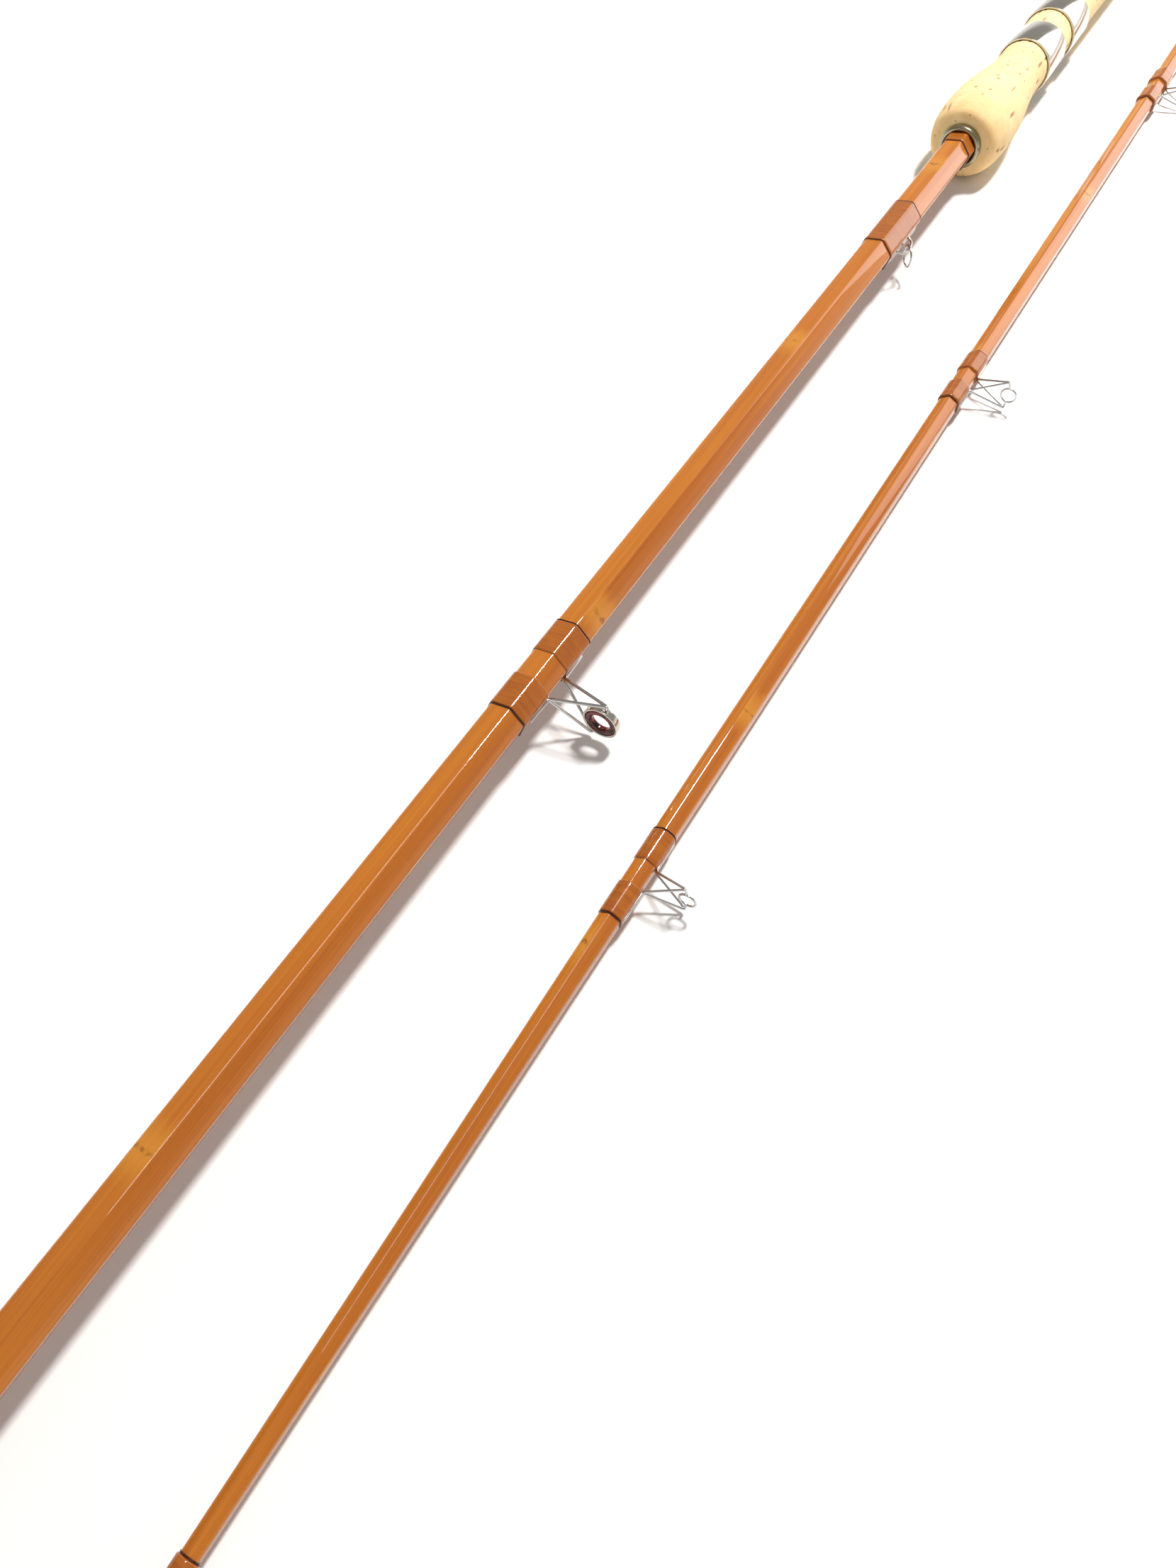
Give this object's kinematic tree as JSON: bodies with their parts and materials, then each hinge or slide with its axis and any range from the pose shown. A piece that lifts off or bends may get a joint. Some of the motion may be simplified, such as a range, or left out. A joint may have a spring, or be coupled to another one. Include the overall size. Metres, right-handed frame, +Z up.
{
  "type": "split cane fishing rod",
  "caption": "Two-piece hexagonal split-cane fishing rod, taken apart: cork handle with sliding reel bands, bridge guides, ferrule joint.",
  "frame": {"origin": "centre of the two sections laid side by side, on the surface that they rest on", "axes": "+Z up; +Y along both sections, towards the cork handle; +X from the butt section to the tip section"},
  "size_m": [0.0989, 1.524, 0.0348],
  "materials": {
    "cane": "gloss varnish over honey-coloured split bamboo",
    "cork": "sanded natural cork with small dark pits",
    "silk": "tan silk thread under clear varnish",
    "dark_silk": "dark brown silk thread under clear varnish",
    "nickel": "polished nickel silver",
    "steel_wire": "bright chromed steel wire",
    "rubber": "smooth black rubber",
    "agate": "polished dark red-brown agate"
  },
  "bodies": {
    "butt_section": {"butt_strip_1": "cane", "butt_strip_2": "cane", "butt_strip_3": "cane", "butt_strip_4": "cane", "butt_strip_5": "cane", "butt_strip_6": "cane", "cork_front_bulb": "cork", "cork_reel_seat": "cork", "cork_rear_grip": "cork", "winding_check": "nickel", "butt_cap": "nickel", "rubber_button": "rubber", "handle_whipping": "silk", "keeper_saddle": "steel_wire", "keeper_whipping": "silk", "butt_guide_bridge": "steel_wire", "butt_guide_bezel": "steel_wire", "butt_guide_liner": "agate", "butt_guide_whippings": "silk", "second_guide": "steel_wire", "second_guide_whippings": "silk", "butt_ferrule": "nickel", "butt_ferrule_whipping": "silk", "butt_dark_tippings": "dark_silk"},
    "front_band": {"reel_band_front": "nickel"},
    "rear_band": {"reel_band_rear": "nickel"},
    "keeper_ring": {"keeper_ring": "steel_wire"},
    "tip_section": {"tip_strip_1": "cane", "tip_strip_2": "cane", "tip_strip_3": "cane", "tip_strip_4": "cane", "tip_strip_5": "cane", "tip_strip_6": "cane", "tip_ferrule": "nickel", "tip_ferrule_whipping": "silk", "tip_guide_1": "steel_wire", "tip_guide_2": "steel_wire", "tip_guide_3": "steel_wire", "tip_guide_4": "steel_wire", "tip_guide_5": "steel_wire", "tip_guide_6": "steel_wire", "tip_guide_1_whippings": "silk", "tip_guide_2_whippings": "silk", "tip_guide_3_whippings": "silk", "tip_guide_4_whippings": "silk", "tip_guide_5_whippings": "silk", "tip_guide_6_whippings": "silk", "tip_top_tube": "steel_wire", "tip_top_bezel": "steel_wire", "tip_top_liner": "agate", "tip_top_whipping": "silk", "tip_dark_tippings": "dark_silk"}
  },
  "joints": [
    {"name": "front_band_slide", "type": "slide", "parent": "butt_section", "child": "front_band", "axis": [0, 1, 0], "range_m": [-0.004, 0.005]},
    {"name": "rear_band_slide", "type": "slide", "parent": "butt_section", "child": "rear_band", "axis": [0, 1, 0], "range_m": [-0.005, 0.3]},
    {"name": "keeper_ring_swing", "type": "hinge", "parent": "butt_section", "child": "keeper_ring", "pos_m": [-0.02171, 0.042, 0.01412], "axis": [0, -1, 0], "range_deg": [0, 100]},
    {"name": "tip_section_lift", "type": "slide", "parent": "butt_section", "child": "tip_section", "axis": [0, 0, 1], "range_m": [0, 0.12]}
  ]
}
